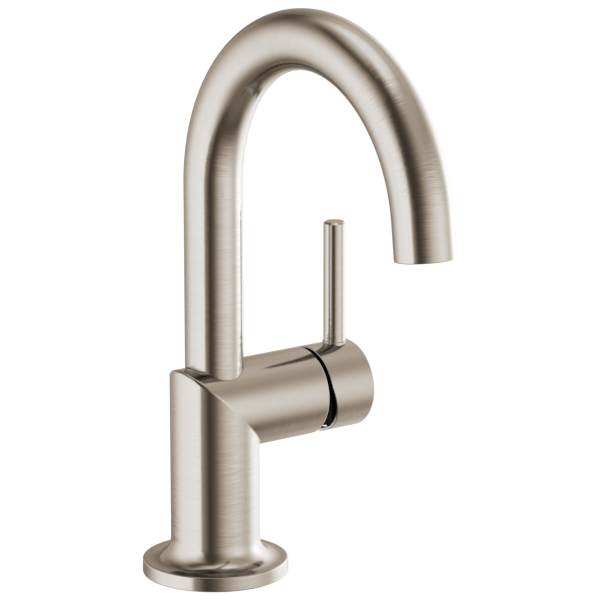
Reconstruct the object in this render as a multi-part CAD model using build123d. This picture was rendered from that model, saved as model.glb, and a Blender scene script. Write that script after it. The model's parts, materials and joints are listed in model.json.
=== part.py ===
"""Single-lever bathroom sink faucet for one deck hole.

A round column on a flared flange turns through a mitred elbow into a short barrel at its side.
The spout tube stands on the barrel, saddled to its round, and bends over the basin.
The barrel holds a ceramic cartridge, and a cap with an upright rod works it from the end.

Frame: millimetres, +Z up, the origin at the centre of the flange's underside, on the deck.
The spout points along -Y and the handle along +X.
Pieces on the cartridge's axis are drawn about the X axis, and on_axis lifts them to the barrel.
"""
from build123d import *
import os
from math import cos, hypot, radians, sin

# Column, barrel and flange
column_radius = 19.4
column_bore = 16.9
barrel_height = 73.7
barrel_end = 48.5
barrel_edge = 0.7
elbow_round = 0.6
flange_radius = 31.85
flange_rim = 6.4
flange_edge = 0.8
flange_foot_edge = 0.4
thread_run_out = 2.0
nut_thread_length = 15.5
flare_radius = 9.5

# Spout
spout_radius = 12.7
spout_wall = 1.5
spout_bend = 71.1
spout_bend_height = 173.3
spout_sweep = 173.25
spout_tip = 15.8
spout_tip_edge = 0.5
spout_foot_edge = 0.3
waterway_radius = 4.0
waterway_bore = 2.8

# Joint between the spout and the barrel
nipple_thread = 9.0
nipple_bore = 4.75
nipple_collar_height = 12.0
saddle_radius = 12.4
spout_nut_top = 11.0
spout_nut_height = 3.6
plug_radius = 4.6
plug_above_block = 4.0
o_ring_section = 0.4
o_ring_spread = 1.6
o_ring_groove = 1.1
thread_clearance = 0.2

# Valve block
block_radius = 16.85
block_front = 20.0
block_top = 6.5
block_foot = -11.8
block_head = 5.5
inlet_offset = 7.3
inlet_back = -5.5
inlet_thread = 4.0
inlet_thread_depth = 5.8
channel_radius = 2.0
channel_height = 2.0
outlet_radius = 2.8
outlet_height = -2.6
peg_spread = 6.5
peg_height = -9.5
peg_radius = 1.2
peg_length = 1.5
peg_clearance = 0.1

# Cartridge, along the X axis
seal_proud = 0.3
seal_width = 0.9
seal_margin = 0.2
seal_length = 1.5
base_flange_end = 22.0
base_end = 25.0
fixed_disc_end = 28.5
disc_gap = 0.05
moving_disc_end = 31.55
carrier_end = 37.4
pocket_floor = 33.0
rotor_start = 38.8
housing_bore = 12.3
housing_radius = 14.0
housing_lip = 15.6
housing_lip_start = 36.0
housing_lip_end = 39.0
housing_end = 48.0
housing_wall = 1.6
disc_radius = 10.4
disc_rest = -1.2
disc_flat = 8.2
running_fit = 0.1
inlet_slot_reach = 6.8
inlet_slot_height = 2.1
inlet_slot_length = 4.6
inlet_slot_width = 2.4
chamber_length = 14.4
chamber_width = 8.6
chamber_round = 2.0
chamber_height = -3.9
chamber_depth = 1.6
carrier_peg_radius = 1.0
carrier_peg_spread = 7.5
carrier_peg_length = 1.0

# Retaining nut, bonnet and hot limit ring
nut_thread = 17.5
nut_bore = 14.2
nut_end = 47.6
bonnet_radius = 16.8
bonnet_wall = 1.2
bonnet_shoulder = 51.0
bonnet_end = 54.2
bonnet_mouth = 9.8
limit_ring_radius = 12.6
limit_ring_thickness = 1.5
limit_tab_reach = 13.8
limit_tab_half_width = 1.6
stop_angle = 58.0
stop_half_width = 0.9
stop_inner = 12.9
stop_outer = 13.9
key_slot_half_width = 1.5
key_slot_depth = 2.0

# Rotor, stem and pin
rotor_shoulder = 46.2
rotor_neck = 8.9
rotor_end = 51.5
finger_start = 33.0
finger_inner = 8.5
finger_half_height = 5.0
slot_half_width = 3.8
slot_bottom = -5.4
slot_top = 4.4
tilt_pivot = 44.4
tilt_arm = 8.6
pin_radius = 1.25
pin_length = 22.0
pin_clearance = 0.04
ball_radius = 2.6
ball_clearance = 0.06
arm_radius = 1.9
stem_half_width = 3.5
stem_half_height = 3.0
eye_radius = 3.4
stem_end = 66.0

# Handle: the cap's inner edge steps back at the bottom, so that the lever can tilt
cap_bore = 18.3
cap_top_start = 50.4
cap_bottom_start = 55.4
cap_slope_top = 5.5
cap_slope_bottom = -14.0
cap_slope_round = 14.0
cap_end = 73.8
cap_end_wall = 3.0
cap_edge = 0.9
cap_mouth_edge = 0.3
hub_start = 58.0
hub_radius = 8.5
web_start = 60.0
web_half_width = 6.0
rod_place = 65.9
rod_radius = 4.9
rod_top = 147.8
rod_chamfer = 0.8
rod_foot_radius = 5.3
rod_foot_height = 0.7
rod_foot_round = 0.35
stud_radius = 3.0
stud_bottom = 7.0
screw_place = 62.0
screw_radius = 2.5
screw_length = 6.0
screw_hole = 2.9
socket_radius = 1.5
socket_depth = 2.5

# Spout outlet: heights are measured from the tube's end, up into it
adapter_start = 1.5
adapter_length = 13.5
adapter_recess = 9.8
adapter_recess_top = 10.0
waterway_insert = 4.0
aerator_start = 2.2
aerator_bore = 7.9
aerator_ledge = 7.0
aerator_lip = 0.9
aerator_keys = 6
key_width = 1.4
key_depth = 1.2
screen_thickness = 2.0
screen_pitch = 2.6
screen_bar = 0.7
screen_rim = 0.6
screen_reach = 3
regulator_thickness = 2.0
regulator_holes = 8
regulator_hole_radius = 0.9
regulator_hole_circle = 4.8
gasket_thickness = 1.0

# Under the deck
shank_radius = 16.0
shank_bore = 13.6
shank_thread_in_body = 12.0
shank_bottom = -52.0
shank_end_chamfer = 1.0
deck_thickness = 25.0
washer_radius = 27.0
rubber_thickness = 3.0
steel_thickness = 2.0
washer_hole = 16.4
mounting_nut_start = -34.0
mounting_nut_height = 10.0
jack_circle = 21.8
jack_count = 3
jack_radius = 2.5
jack_head_radius = 4.2
jack_head_height = 3.4
jack_head_gap = 6.0
cross_length = 4.4
cross_width = 1.1
cross_depth = 1.6
gasket_inner = 24.0
gasket_outer = 29.0
gasket_depth = 2.0

# Bore of the spout's tube, and the reach of the solids that only cut
spout_bore = spout_radius - spout_wall
far = 300.0


def rod_z(radius, bottom, top):
    """Upright cylinder between two heights."""
    low_end = (Align.CENTER, Align.CENTER, Align.MIN)
    return Pos(0, 0, bottom) * Cylinder(radius, top - bottom, align=low_end)


def rod_x(radius, start, end):
    """Cylinder along the X axis between two places."""
    return Rot(0, 90, 0) * rod_z(radius, start, end)


def rod_y(radius, start, end):
    """Cylinder along the Y axis between two places."""
    return Rot(-90, 0, 0) * rod_z(radius, start, end)


def block(x, y, z):
    """Box from the low and high value of each coordinate."""
    low_corner = (Align.MIN, Align.MIN, Align.MIN)
    size = Box(x[1] - x[0], y[1] - y[0], z[1] - z[0], align=low_corner)
    return Pos(x[0], y[0], z[0]) * size


def on_axis(piece):
    """Lift a piece drawn about the X axis to the barrel's height."""
    return Pos(0, 0, barrel_height) * piece


def mitred_elbow(radius, foot, end, rounding):
    """Column along Z and barrel along X, mitred at 45 degrees where they meet at the origin.

    With a rounding, the mitre's oval is carried round a small quarter arc between the two.
    """
    column = rod_z(radius, foot, 2 * radius)
    barrel = rod_x(radius, -2 * radius, end)
    lower_cut = Plane(origin=(0, 0, -rounding), x_dir=(0, 1, 0), z_dir=(1, 0, 1))
    upper_cut = Plane(origin=(rounding, 0, 0), x_dir=(0, 1, 0), z_dir=(1, 0, 1))
    column = split(column, bisect_by=lower_cut, keep=Keep.BOTTOM)
    barrel = split(barrel, bisect_by=upper_cut, keep=Keep.TOP)
    if rounding == 0:
        return column + barrel
    oval = column.faces().sort_by(Axis((0, 0, 0), (1, 0, 1)))[-1]
    turn = Plane.XZ * CenterArc((rounding, -rounding), rounding, 180, -90)
    return column + barrel + sweep(oval, path=turn, normal=(1, 0, 1))


def flange_blank():
    """Flange with its flat rim and the hollow flare that runs up into the column."""
    flare_foot = column_radius + flare_radius
    flare_top = flange_rim + flare_radius
    outline = Polyline(
        (flare_foot, flange_rim), (flange_radius, flange_rim), (flange_radius, 0),
        (0, 0), (0, flare_top), (column_radius, flare_top),
    )
    flare = CenterArc((flare_foot, flare_top), flare_radius, 180, 90)
    profile = make_face([*outline.edges(), flare])
    rim = profile.vertices().group_by(Axis.X)[-1].sort_by(Axis.Y)
    profile = fillet(rim[-1], flange_edge)
    rim = profile.vertices().group_by(Axis.X)[-1].sort_by(Axis.Y)
    profile = fillet(rim[0], flange_foot_edge)
    return revolve(Plane.XZ * profile, Axis.Z)


def body_shell():
    """Flange, column and barrel in one brass shell, hollow, with threads at both mouths."""
    flare_top = flange_rim + flare_radius
    elbow = mitred_elbow(column_radius, flare_top - barrel_height, barrel_end, elbow_round)
    shell = flange_blank() + on_axis(elbow)
    rim = shell.edges().filter_by(GeomType.CIRCLE).sort_by(Axis.X)[-1]
    shell = fillet(rim, barrel_edge)
    base_top = shank_thread_in_body + thread_run_out
    cavity = mitred_elbow(column_bore, base_top - barrel_height, barrel_end, 0)
    shell -= on_axis(cavity)
    shell -= on_axis(rod_x(nut_thread, barrel_end - nut_thread_length, barrel_end + 1))
    shell -= rod_z(shank_radius, -1, base_top + 1)
    shell -= rod_z(nipple_thread + thread_clearance, barrel_height, barrel_height + far)
    return shell - base_gasket()


def spout_path(start_height):
    """Centre line of the spout from a height above the deck to the end of its tip."""
    riser = Line((0, start_height), (0, spout_bend_height))
    bend = CenterArc((-spout_bend, spout_bend_height), spout_bend, 0, spout_sweep)
    tip = Line(bend @ 1, (bend @ 1) + (bend % 1) * spout_tip)
    return Plane.YZ * (riser + bend + tip)


def tube_along(path, start_height, outer, inner):
    """Round tube along a path that starts upwards from the given height."""
    foot = Plane.XY.offset(start_height)
    solid = sweep(foot * Circle(outer), path=path)
    return solid - sweep(foot * Circle(inner), path=path)


def barrel_round():
    """The barrel's outer round, run on both ways, which the spout's foot is saddled to."""
    return on_axis(rod_x(column_radius, -far, far))


def spout_tube():
    """Bent spout tube, its foot cut to the round of the barrel and its tip edge eased."""
    start = barrel_height
    path = spout_path(start)
    tube = tube_along(path, start, spout_radius, spout_bore)
    tip_edges = tube.edges().filter_by(GeomType.CIRCLE).group_by(Axis.Y)[0]
    tube = fillet(tip_edges.sort_by(SortBy.RADIUS)[-1], spout_tip_edge)
    tube -= barrel_round()
    foot_edges = tube.edges().group_by(Axis.Z)[0]
    return fillet(foot_edges.sort_by(SortBy.LENGTH)[-1], spout_foot_edge)


def spout_nipple():
    """Threaded nipple brazed in the spout's foot, which the nut inside the barrel draws down."""
    crown = barrel_height + column_radius
    collar = rod_z(spout_bore, barrel_height, crown + nipple_collar_height) - barrel_round()
    stem_bottom = barrel_height + spout_nut_top - spout_nut_height
    stem = rod_z(nipple_thread, stem_bottom, crown)
    return collar + stem - rod_z(nipple_bore, stem_bottom - 1, crown + far)


def saddle_washer():
    """Washer that fills the inside of the barrel's round over the flat spout nut."""
    bottom = barrel_height + spout_nut_top
    washer = rod_z(saddle_radius, bottom, bottom + column_bore)
    washer &= on_axis(rod_x(column_bore, -far, far))
    return washer - rod_z(nipple_thread + thread_clearance, barrel_height, far)


def spout_nut():
    """Thin hexagon nut on the spout nipple, inside the barrel."""
    top = barrel_height + spout_nut_top
    hexagon = RegularPolygon(saddle_radius, 6)
    nut = Pos(0, 0, top - spout_nut_height) * extrude(hexagon, spout_nut_height)
    return nut - rod_z(nipple_thread, barrel_height, top + 1)


def waterway_tube():
    """Inner water tube, with a grooved plug for the valve block at its foot."""
    bottom = barrel_height + outlet_height + 0.5
    plug_top = barrel_height + block_top + plug_above_block
    path = spout_path(bottom)
    tube = sweep(Plane.XY.offset(bottom) * Circle(waterway_radius), path=path)
    tube += rod_z(plug_radius, bottom, plug_top)
    tube -= sweep(Plane.XY.offset(bottom) * Circle(waterway_bore), path=path)
    seat = adapter_start + adapter_length - waterway_insert
    tube -= in_tip(rod_z(spout_bore, -1, seat))
    half_groove = o_ring_groove / 2
    for height in o_ring_heights():
        groove = rod_z(plug_radius + 1, height - half_groove, height + half_groove)
        tube -= groove - rod_z(plug_radius - 2 * o_ring_section, bottom, plug_top)
    return tube


def o_ring_heights():
    """Heights of the two O-rings on the waterway's plug."""
    middle = barrel_height + (block_top + outlet_height) / 2
    return [middle - o_ring_spread, middle + o_ring_spread]


def waterway_o_rings():
    """The two O-rings that seal the waterway's plug in the valve block."""
    ring = Torus(plug_radius - o_ring_section, o_ring_section)
    return Part() + [Pos(0, 0, height) * ring for height in o_ring_heights()]


def in_tip(piece):
    """Place a piece in the spout's tip: it is drawn from the tube's end face, up into the tube."""
    path = spout_path(barrel_height)
    place = Plane(origin=path @ 1, x_dir=(1, 0, 0), z_dir=(path % 1) * -1)
    return place.location * piece


def outlet_adapter():
    """Bush in the spout's tip that joins the waterway to the aerator."""
    top = adapter_start + adapter_length
    bush = rod_z(spout_bore, adapter_start, top)
    bush -= rod_z(adapter_recess, adapter_start - 1, adapter_recess_top)
    bush -= rod_z(waterway_bore, 0, top + 1)
    return in_tip(bush - rod_z(waterway_radius, top - waterway_insert, top + 1))


def aerator_gasket():
    """Flat ring that seals the aerator against the floor of the adapter's recess."""
    ring = rod_z(adapter_recess, adapter_recess_top - gasket_thickness, adapter_recess_top)
    return in_tip(ring - rod_z(aerator_bore, 0, far))


def aerator_housing():
    """Recessed aerator shell, with key slots round its mouth."""
    top = adapter_recess_top - gasket_thickness
    shell = rod_z(adapter_recess, aerator_start, top)
    shell -= rod_z(aerator_bore, 0, aerator_ledge)
    shell -= rod_z(aerator_bore - aerator_lip, 0, far)
    slot = Pos(adapter_recess, 0, aerator_start) * Box(2 * key_depth, key_width, 2 * key_depth)
    for number in range(aerator_keys):
        shell -= Rot(0, 0, number * 360 / aerator_keys) * slot
    return in_tip(shell)


def aerator_screen():
    """Square-meshed screen in the aerator's mouth, which steadies the stream."""
    bottom = aerator_start + screen_rim
    screen = rod_z(aerator_bore, bottom, bottom + screen_thickness)
    hole_width = screen_pitch - screen_bar
    hole = Box(hole_width, hole_width, far)
    steps = range(-screen_reach, screen_reach + 1)
    for column in steps:
        for row in steps:
            x = column * screen_pitch
            y = row * screen_pitch
            corner = hypot(abs(x) + hole_width / 2, abs(y) + hole_width / 2)
            if corner < aerator_bore - screen_rim:
                screen -= Pos(x, y, 0) * hole
    return in_tip(screen)


def flow_regulator():
    """Disc with a ring of small holes that limits the flow, above the screen."""
    disc = rod_z(aerator_bore, aerator_ledge - regulator_thickness, aerator_ledge)
    hole = Pos(regulator_hole_circle, 0, 0) * rod_z(regulator_hole_radius, 0, far)
    for number in range(regulator_holes):
        disc -= Rot(0, 0, number * 360 / regulator_holes) * hole
    return in_tip(disc)


def valve_block():
    """Brass block in the elbow: two threaded inlets below, the spout's socket on top."""
    upright = rod_z(block_radius, -far, far)
    body = rod_x(block_radius, -block_radius, block_front)
    body &= upright + block((0, far), (-far, far), (-far, far))
    body &= block((-far, far), (-far, far), (block_foot, far))
    body -= block((-far, block_front - block_head), (-far, far), (block_top, far))
    body -= rod_z(plug_radius, outlet_height, far)
    body -= Pos(0, 0, outlet_height) * rod_x(outlet_radius, 0, far)
    for side in (-1, 1):
        y = side * inlet_offset
        thread_top = block_foot + inlet_thread_depth
        body -= Pos(inlet_back, y, 0) * rod_z(inlet_thread, -far, thread_top)
        body -= Pos(inlet_back, y, 0) * rod_z(channel_radius, -far, channel_height)
        body -= Pos(0, y, channel_height) * rod_x(channel_radius, inlet_back, far)
        body -= seat_peg(side, peg_radius + peg_clearance, block_front - peg_length - 0.5, far)
    return on_axis(body)


def seat_peg(side, radius, start, end):
    """One of the two pegs that keep the cartridge from turning on its seat."""
    return Pos(0, side * peg_spread, peg_height) * rod_x(radius, start, end)


def port_places():
    """Places of the three ports on the cartridge's seat, as (y, z, radius)."""
    inlets = [(side * inlet_offset, channel_height, channel_radius) for side in (-1, 1)]
    return [*inlets, (0, outlet_height, outlet_radius)]


def port_ring(y, z, radius):
    """Ring round one port, from the seat's face into the cartridge base."""
    inner = radius + seal_margin
    ring = rod_x(inner + seal_width, block_front, block_front + seal_length)
    return Pos(0, y, z) * (ring - rod_x(inner, 0, far))


def cartridge_base():
    """Plastic base of the cartridge, with its three ports, seal grooves and two pegs."""
    base = rod_x(housing_radius, block_front + seal_proud, base_flange_end)
    base += rod_x(housing_bore, base_flange_end, base_end)
    for y, z, radius in port_places():
        base -= Pos(0, y, z) * rod_x(radius, 0, far)
        base -= port_ring(y, z, radius)
    for side in (-1, 1):
        base += seat_peg(side, peg_radius, block_front - peg_length, base_flange_end)
    return on_axis(base)


def port_seals():
    """Three rubber rings between the cartridge and its seat."""
    return on_axis(Part() + [port_ring(*place) for place in port_places()])


def fixed_disc():
    """Lower ceramic disc, which stays with the base: two inlet slots and the outlet."""
    disc = rod_x(housing_bore, base_end, fixed_disc_end)
    slot = extrude(Plane.YZ * SlotOverall(inlet_slot_length, inlet_slot_width), far)
    for side in (-1, 1):
        disc -= Pos(0, side * inlet_slot_reach, inlet_slot_height) * slot
    return on_axis(disc - Pos(0, 0, outlet_height) * rod_x(outlet_radius, 0, far))


def sliding_blank(start, end):
    """Disc with two flat sides, at its place with the lever closed."""
    disc = Pos(0, 0, disc_rest) * rod_x(disc_radius, start, end)
    return disc & block((0, far), (-disc_flat, disc_flat), (-far, far))


def carrier_pegs(radius, start, end):
    """The two pegs by which the carrier takes the moving disc along."""
    peg = Pos(0, 0, disc_rest) * rod_x(radius, start, end)
    return [Pos(0, 0, side * carrier_peg_spread) * peg for side in (-1, 1)]


def moving_disc():
    """Upper ceramic disc, with the mixing chamber in its face and two blind peg holes."""
    start = fixed_disc_end + disc_gap
    disc = sliding_blank(start, moving_disc_end)
    outline = Plane.YZ * RectangleRounded(chamber_length, chamber_width, chamber_round)
    disc -= Pos(start, 0, chamber_height) * extrude(outline, chamber_depth)
    hole_floor = moving_disc_end - carrier_peg_length - peg_clearance
    disc -= carrier_pegs(carrier_peg_radius + peg_clearance, hole_floor, far)
    return on_axis(disc)


def disc_carrier():
    """Plastic carrier on the moving disc, with the pocket for the stem's ball."""
    carrier = sliding_blank(moving_disc_end, carrier_end)
    carrier += carrier_pegs(carrier_peg_radius, moving_disc_end - carrier_peg_length, carrier_end)
    return on_axis(carrier - rod_x(ball_radius + ball_clearance, pocket_floor, far))


def rotor():
    """Rotor that turns in the housing, with two fingers that guide the carrier."""
    journal = housing_bore - running_fit
    turned = rod_x(journal, rotor_start, rotor_shoulder)
    turned += rod_x(rotor_neck, rotor_shoulder, rotor_end)
    fingers = rod_x(journal, finger_start, rotor_start)
    fingers &= block((0, far), (-far, far), (-finger_half_height, finger_half_height))
    fingers -= block((0, far), (-finger_inner, finger_inner), (-far, far))
    slot_width = (-slot_half_width, slot_half_width)
    turned += fingers
    turned -= block((0, far), slot_width, (slot_bottom, slot_top))
    return on_axis(turned - at_pivot(rod_y(pin_radius, -far, far)))


def at_pivot(piece):
    """Place a piece at the lever's pivot on the cartridge's axis."""
    return Pos(tilt_pivot, 0, 0) * piece


def pivot_pin():
    """Steel pin across the rotor, on which the stem tilts."""
    half = pin_length / 2
    return on_axis(at_pivot(rod_y(pin_radius, -half, half)))


def cartridge_housing():
    """Cup that holds the discs and the rotor, with the lip that the nut presses on."""
    wall_start = housing_end - housing_wall
    housing = rod_x(housing_radius, base_flange_end, housing_end)
    housing += rod_x(housing_lip, housing_lip_start, housing_lip_end)
    housing -= rod_x(housing_bore, 0, wall_start)
    housing -= rod_x(rotor_neck + running_fit, 0, far)
    post = rod_x(stop_outer, wall_start, housing_end + limit_ring_thickness)
    post -= rod_x(stop_inner, 0, far)
    post &= block((0, far), (-stop_half_width, stop_half_width), (0, far))
    for angle in (-stop_angle, stop_angle):
        housing += Rot(angle, 0, 0) * post
    return on_axis(housing)


def limit_ring():
    """Hot limit ring on the rotor's neck: its tab stops at the housing's two posts."""
    start = housing_end + 2 * running_fit
    end = start + limit_ring_thickness
    tab_width = (-limit_tab_half_width, limit_tab_half_width)
    ring = rod_x(limit_ring_radius, start, end)
    tab = rod_x(limit_tab_reach, start, end) & block((0, far), tab_width, (0, far))
    return on_axis(ring + tab - rod_x(rotor_neck, 0, far))


def retaining_nut():
    """Ring nut that clamps the cartridge in the barrel, with four key slots."""
    nut = rod_x(nut_thread, housing_lip_end, nut_end) - rod_x(nut_bore, 0, far)
    slot_width = (-key_slot_half_width, key_slot_half_width)
    slot = block((nut_end - key_slot_depth, far), slot_width, (0, far))
    for number in range(4):
        nut -= Rot(45 + 90 * number, 0, 0) * slot
    return on_axis(nut)


def dome(radius, mouth, end):
    """Solid dome on the nut's face: a short cylinder, then a quarter of an ellipse."""
    rise = end - bonnet_shoulder
    curve = EllipticalCenterArc((bonnet_shoulder, mouth), rise, radius - mouth, arc_size=90)
    sides = Polyline(
        (bonnet_shoulder, radius), (nut_end, radius), (nut_end, 0), (end, 0), (end, mouth),
    )
    return revolve(make_face([*sides.edges(), curve]), Axis.X)


def bonnet():
    """Dark dome over the retaining nut, which shows through the gap beside the cap."""
    outer = dome(bonnet_radius, bonnet_mouth, bonnet_end)
    inner = dome(bonnet_radius - bonnet_wall, bonnet_mouth, bonnet_end - bonnet_wall)
    return on_axis(outer - inner - rod_x(bonnet_mouth, 0, far))


def lever_stem():
    """Stem of the lever: ball, arm, eye on the pivot pin, and the square end in the cap."""
    ball = Pos(tilt_pivot - tilt_arm, 0, 0) * Sphere(ball_radius)
    arm = rod_x(arm_radius, tilt_pivot - tilt_arm, tilt_pivot)
    eye = at_pivot(rod_y(eye_radius, -stem_half_width, stem_half_width))
    stem = ball + arm + eye + stem_shaft(tilt_pivot)
    return on_axis(stem - at_pivot(rod_y(pin_radius + pin_clearance, -far, far)))


def stem_shaft(start):
    """Flat-sided shaft of the stem, from a place on the axis to its end in the cap's hub."""
    width = (-stem_half_width, stem_half_width)
    height = (-stem_half_height, stem_half_height)
    return block((start, stem_end), width, height)


def cap_mouth_cut():
    """All that lies inside the cap's edge: upright above, sloped back, upright again below."""
    edge = FilletPolyline(
        (cap_top_start, far), (cap_top_start, cap_slope_top),
        (cap_bottom_start, cap_slope_bottom), (cap_bottom_start, -far),
        radius=cap_slope_round,
    )
    back = Polyline(edge @ 1, (-far, -far), (-far, far), edge @ 0)
    profile = make_face([*edge.edges(), *back.edges()])
    return extrude(Plane.XZ * profile, far, both=True)


def handle_cap():
    """Cap over the barrel's end, with a hub for the stem and a web that takes the rod."""
    shell = rod_x(column_radius, cap_top_start - 1, cap_end)
    shell = fillet(shell.edges().sort_by(Axis.X)[-1], cap_edge)
    shell -= cap_mouth_cut()
    mouth = [edge for edge in shell.edges() if edge.bounding_box().min.X < cap_bottom_start + 1]
    shell = fillet(mouth, cap_mouth_edge)
    end_wall = cap_end - cap_end_wall
    shell -= rod_x(cap_bore, 0, end_wall)
    hub = rod_x(hub_radius, hub_start, end_wall)
    web = block((web_start, end_wall), (-web_half_width, web_half_width), (-cap_bore, cap_bore))
    inside = rod_x(cap_bore, 0, far)
    cap = shell + hub + (web & inside) - stem_shaft(0)
    cap -= Pos(rod_place, 0, 0) * rod_z(stud_radius, stud_bottom, far)
    cap -= Pos(screw_place, 0, 0) * rod_z(screw_radius, -far, 0)
    screw_end = -stem_half_height - screw_length
    cap -= Pos(screw_place, 0, 0) * rod_z(screw_hole, -far, screw_end)
    return on_axis(cap)


def lever_rod():
    """Upright rod, its flared foot saddled to the cap's round, with a threaded stud below."""
    rod = rod_z(rod_radius, 0, rod_top - barrel_height)
    rod = chamfer(rod.edges().sort_by(Axis.Z)[-1], rod_chamfer)
    bead = rod_z(rod_foot_radius, 0, column_radius + rod_foot_height)
    bead = fillet(bead.edges().sort_by(Axis.Z)[-1], rod_foot_round)
    rod += bead
    rod -= rod_x(column_radius, -far, far)
    rod += rod_z(stud_radius, stud_bottom, column_radius)
    return on_axis(Pos(rod_place, 0, 0) * rod)


def set_screw():
    """Socket screw that holds the stem in the hub, reached from below the cap."""
    top = -stem_half_height
    screw = rod_z(screw_radius, top - screw_length, top)
    socket = extrude(RegularPolygon(socket_radius, 6), socket_depth)
    socket = Pos(0, 0, top - screw_length) * socket
    return on_axis(Pos(screw_place, 0, 0) * (screw - socket))


def base_gasket():
    """Flat gasket in the flange's underside, flush with it when clamped down."""
    return rod_z(gasket_outer, 0, gasket_depth) - rod_z(gasket_inner, 0, gasket_depth)


def shank():
    """Threaded tube below the body, which passes the deck and carries the hoses."""
    tube = rod_z(shank_radius, shank_bottom, shank_thread_in_body)
    tube = chamfer(tube.edges().sort_by(Axis.Z)[0], shank_end_chamfer)
    return tube - rod_z(shank_bore, -far, far)


def ring_below(top, thickness):
    """Washer under the deck, round the shank."""
    return rod_z(washer_radius, top - thickness, top) - rod_z(washer_hole, -far, far)


def rubber_washer():
    """Rubber washer against the underside of the deck."""
    return ring_below(-deck_thickness, rubber_thickness)


def steel_washer():
    """Steel washer that the jack screws press on."""
    return ring_below(-deck_thickness - rubber_thickness, steel_thickness)


def jack_places():
    """Places of the jack screws round the shank."""
    turns = [radians(90 + number * 360 / jack_count) for number in range(jack_count)]
    return [(jack_circle * cos(turn), jack_circle * sin(turn)) for turn in turns]


def mounting_nut():
    """Large nut on the shank, tapped for the jack screws."""
    bottom = mounting_nut_start - mounting_nut_height
    nut = rod_z(washer_radius, bottom, mounting_nut_start)
    nut = chamfer(nut.edges().filter_by(GeomType.CIRCLE), shank_end_chamfer)
    nut -= rod_z(shank_radius, -far, far)
    for x, y in jack_places():
        nut -= Pos(x, y, 0) * rod_z(jack_radius, -far, far)
    return nut


def jack_screws():
    """Three screws through the mounting nut, whose tips press the steel washer up."""
    tip = -deck_thickness - rubber_thickness - steel_thickness
    head_top = mounting_nut_start - mounting_nut_height - jack_head_gap
    screw = rod_z(jack_radius, head_top, tip)
    screw += rod_z(jack_head_radius, head_top - jack_head_height, head_top)
    cross = Box(cross_length, cross_width, 2 * cross_depth)
    cross += Box(cross_width, cross_length, 2 * cross_depth)
    screw -= Pos(0, 0, head_top - jack_head_height) * cross
    return Part() + [Pos(x, y, 0) * screw for x, y in jack_places()]


parts = {
    "body_shell": body_shell(),
    "spout_tube": spout_tube(),
    "spout_nipple": spout_nipple(),
    "saddle_washer": saddle_washer(),
    "spout_nut": spout_nut(),
    "waterway_tube": waterway_tube(),
    "waterway_o_rings": waterway_o_rings(),
    "outlet_adapter": outlet_adapter(),
    "aerator_gasket": aerator_gasket(),
    "aerator_housing": aerator_housing(),
    "aerator_screen": aerator_screen(),
    "flow_regulator": flow_regulator(),
    "valve_block": valve_block(),
    "port_seals": port_seals(),
    "cartridge_base": cartridge_base(),
    "fixed_disc": fixed_disc(),
    "cartridge_housing": cartridge_housing(),
    "retaining_nut": retaining_nut(),
    "bonnet": bonnet(),
    "rotor": rotor(),
    "pivot_pin": pivot_pin(),
    "limit_ring": limit_ring(),
    "moving_disc": moving_disc(),
    "disc_carrier": disc_carrier(),
    "lever_stem": lever_stem(),
    "handle_cap": handle_cap(),
    "lever_rod": lever_rod(),
    "set_screw": set_screw(),
    "base_gasket": base_gasket(),
    "shank": shank(),
    "rubber_washer": rubber_washer(),
    "steel_washer": steel_washer(),
    "mounting_nut": mounting_nut(),
    "jack_screws": jack_screws(),
}

os.makedirs("parts", exist_ok=True)
for name, piece in parts.items():
    export_step(piece, f"parts/{name}.step")
print(len(parts), "pieces")
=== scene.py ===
# %% [markdown]
# A bathroom sink faucet in warm brushed nickel: a round column on a flared flange, a mitred elbow
# into a short barrel, a bent spout tube on top and a cap with an upright rod at the side.
# The exact solids come from the frame. What shows from a step away is modelled again here with
# clean rings of faces, because brushed metal shows every flaw of a surface as a kinked reflection.

# %% Load the frame
import json
from math import cos, pi, radians, sin

import bmesh
import bpy
import numpy as np
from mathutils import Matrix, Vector


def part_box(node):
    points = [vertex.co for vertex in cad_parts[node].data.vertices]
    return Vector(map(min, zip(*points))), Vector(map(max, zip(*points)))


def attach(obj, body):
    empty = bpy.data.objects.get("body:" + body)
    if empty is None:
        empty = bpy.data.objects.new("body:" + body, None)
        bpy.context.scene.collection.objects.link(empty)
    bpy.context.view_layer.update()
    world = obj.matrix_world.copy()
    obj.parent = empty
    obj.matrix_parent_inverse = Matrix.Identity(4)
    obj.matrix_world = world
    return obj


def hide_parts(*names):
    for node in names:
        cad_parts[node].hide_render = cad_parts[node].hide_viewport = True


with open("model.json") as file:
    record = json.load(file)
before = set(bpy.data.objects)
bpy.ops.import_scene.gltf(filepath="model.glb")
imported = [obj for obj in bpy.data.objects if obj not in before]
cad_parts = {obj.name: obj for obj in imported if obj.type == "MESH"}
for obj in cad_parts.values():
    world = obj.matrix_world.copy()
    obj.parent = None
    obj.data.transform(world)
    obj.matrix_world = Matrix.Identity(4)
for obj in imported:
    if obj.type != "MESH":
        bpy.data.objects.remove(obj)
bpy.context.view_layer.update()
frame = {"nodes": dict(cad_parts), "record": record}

nodes = frame["nodes"]

# %% [markdown]
# Most sizes are read from the frame, so that a new piece always fits the solid it stands for. Only
# roundings and the spout's path are named later, because a box doesn't tell them.

# %% Sizes
mm = 0.001
body_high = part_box("body_shell")[1]
spout_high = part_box("spout_tube")[1]
cap_low, cap_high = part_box("handle_cap")
rod_low, rod_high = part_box("lever_rod")
column_radius = (cap_high.y - cap_low.y) / 2
barrel_height = (cap_high.z + cap_low.z) / 2
barrel_end = body_high.x
flange_radius = body_high.y
cap_end = cap_high.x
spout_radius = spout_high.x
rod_place = (rod_low.x + rod_high.x) / 2
rod_top = rod_high.z
crown = barrel_height + column_radius
print("column radius", round(column_radius / mm, 2), "barrel height", round(barrel_height / mm, 2))

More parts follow.
